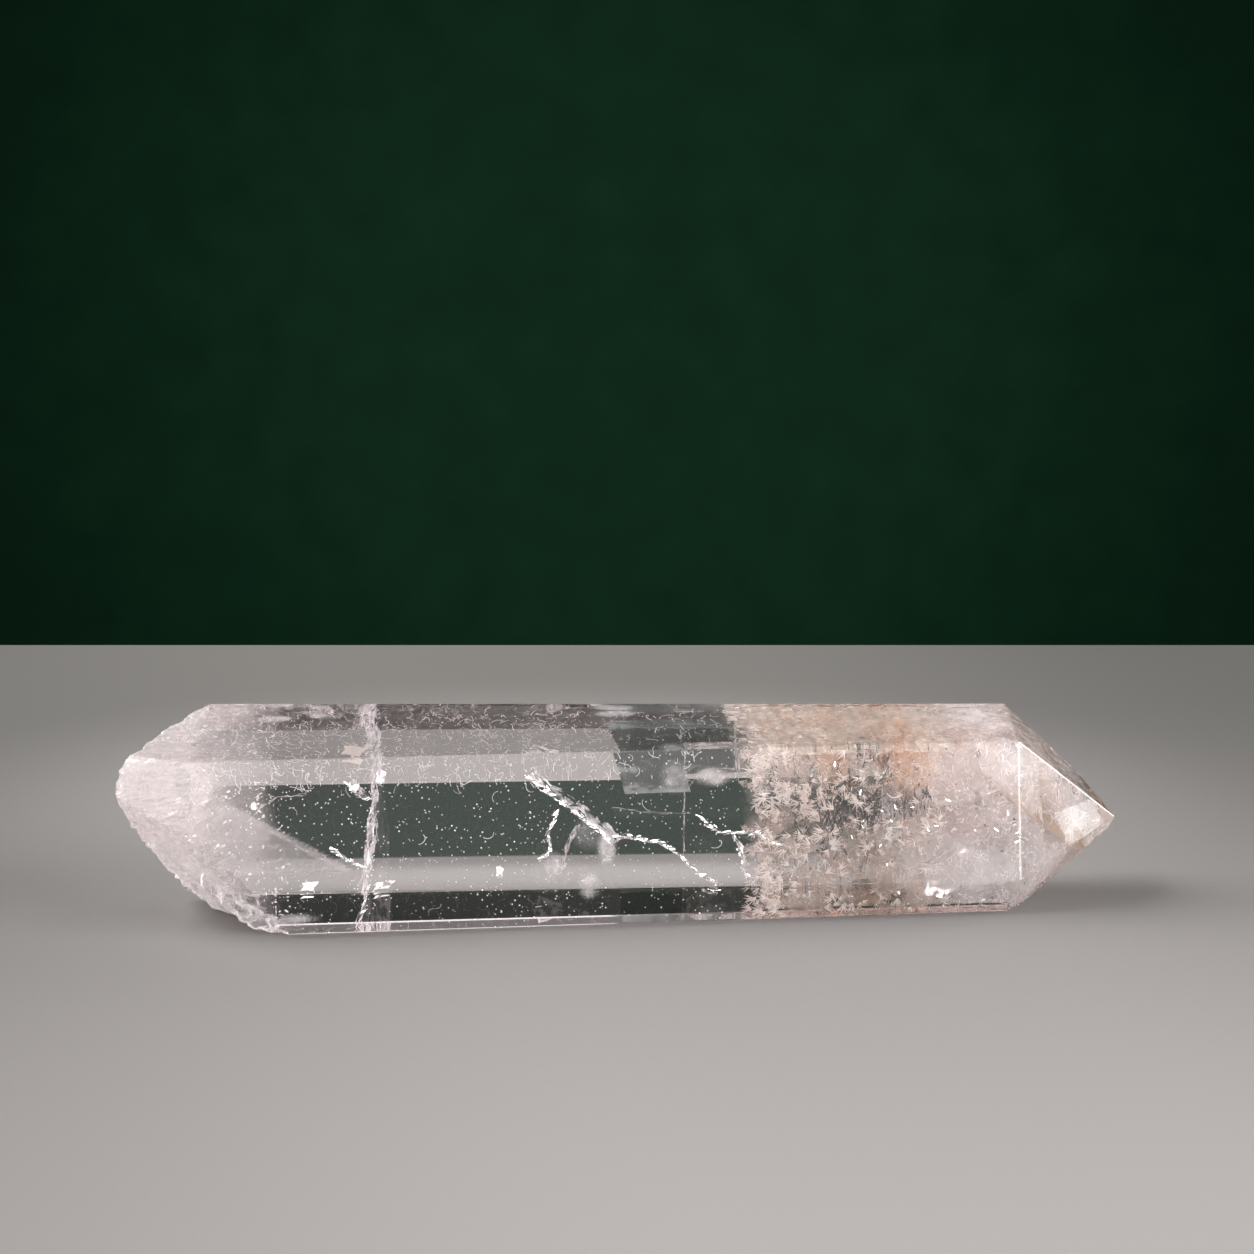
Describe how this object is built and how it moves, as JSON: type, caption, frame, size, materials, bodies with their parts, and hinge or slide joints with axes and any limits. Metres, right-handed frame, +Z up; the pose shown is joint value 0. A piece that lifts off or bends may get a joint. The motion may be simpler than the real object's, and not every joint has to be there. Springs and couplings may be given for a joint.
{
  "type": "quartz crystal point",
  "caption": "Polished clear quartz point lying on a long face, with flat cut faces, a faceted pyramid tip and a rough, knobbly root end.",
  "frame": {"origin": "bottom centre of the bounding box, on the surface that the crystal lies on", "axes": "+X along the crystal towards its tip, +Y away from the large polished front face, +Z up"},
  "size_m": [0.1118, 0.027, 0.021],
  "materials": {
    "clear_quartz": "clear quartz with the faintest pink, cut flat and polished, rough only at the broken root"
  },
  "bodies": {
    "root": {"quartz_point": "clear_quartz"}
  },
  "joints": []
}
